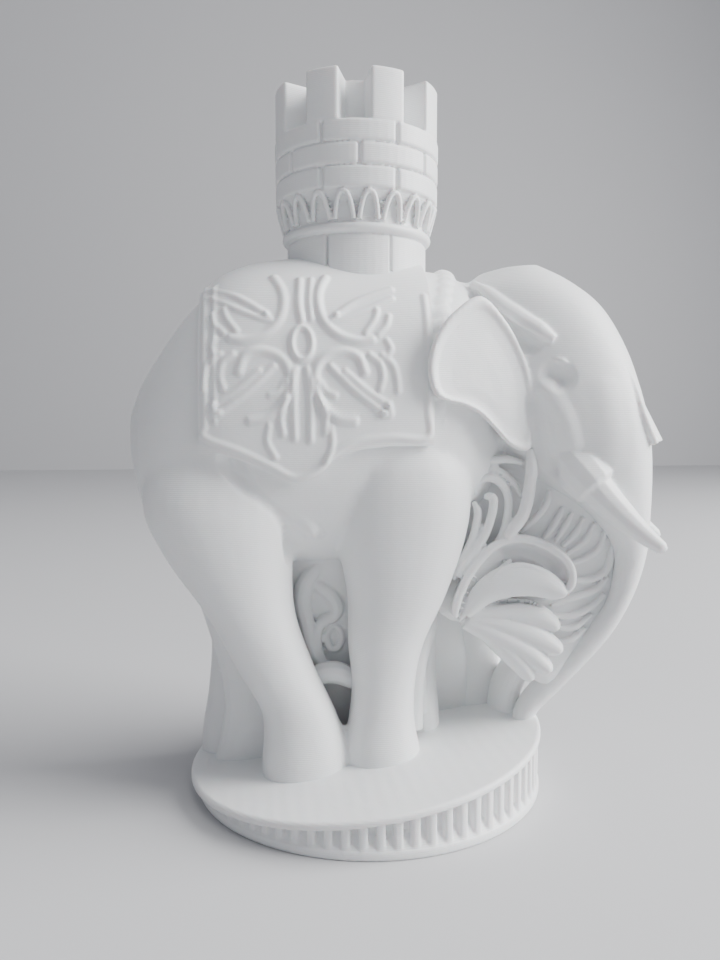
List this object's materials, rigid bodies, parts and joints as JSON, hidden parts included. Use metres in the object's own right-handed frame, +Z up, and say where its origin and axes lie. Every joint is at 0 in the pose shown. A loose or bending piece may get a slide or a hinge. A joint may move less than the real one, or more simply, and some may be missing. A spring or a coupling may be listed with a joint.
{
  "type": "elephant-and-castle chess rook",
  "caption": "White plastic chess rook: a walking elephant with saddle cloth and tusks carries a castle tower, on a round reeded base with a sloping top.",
  "frame": {"origin": "middle of the round base's flat underside", "axes": "+Z up, +X the way the elephant walks, so its right side faces -Y"},
  "size_m": [0.0626, 0.0418, 0.08],
  "materials": {
    "white_plastic": "white printed plastic with fine level layer lines, a soft sheen and a few dark specks and scratches"
  },
  "bodies": {
    "root": {"elephant_rook": "white_plastic"}
  },
  "joints": []
}
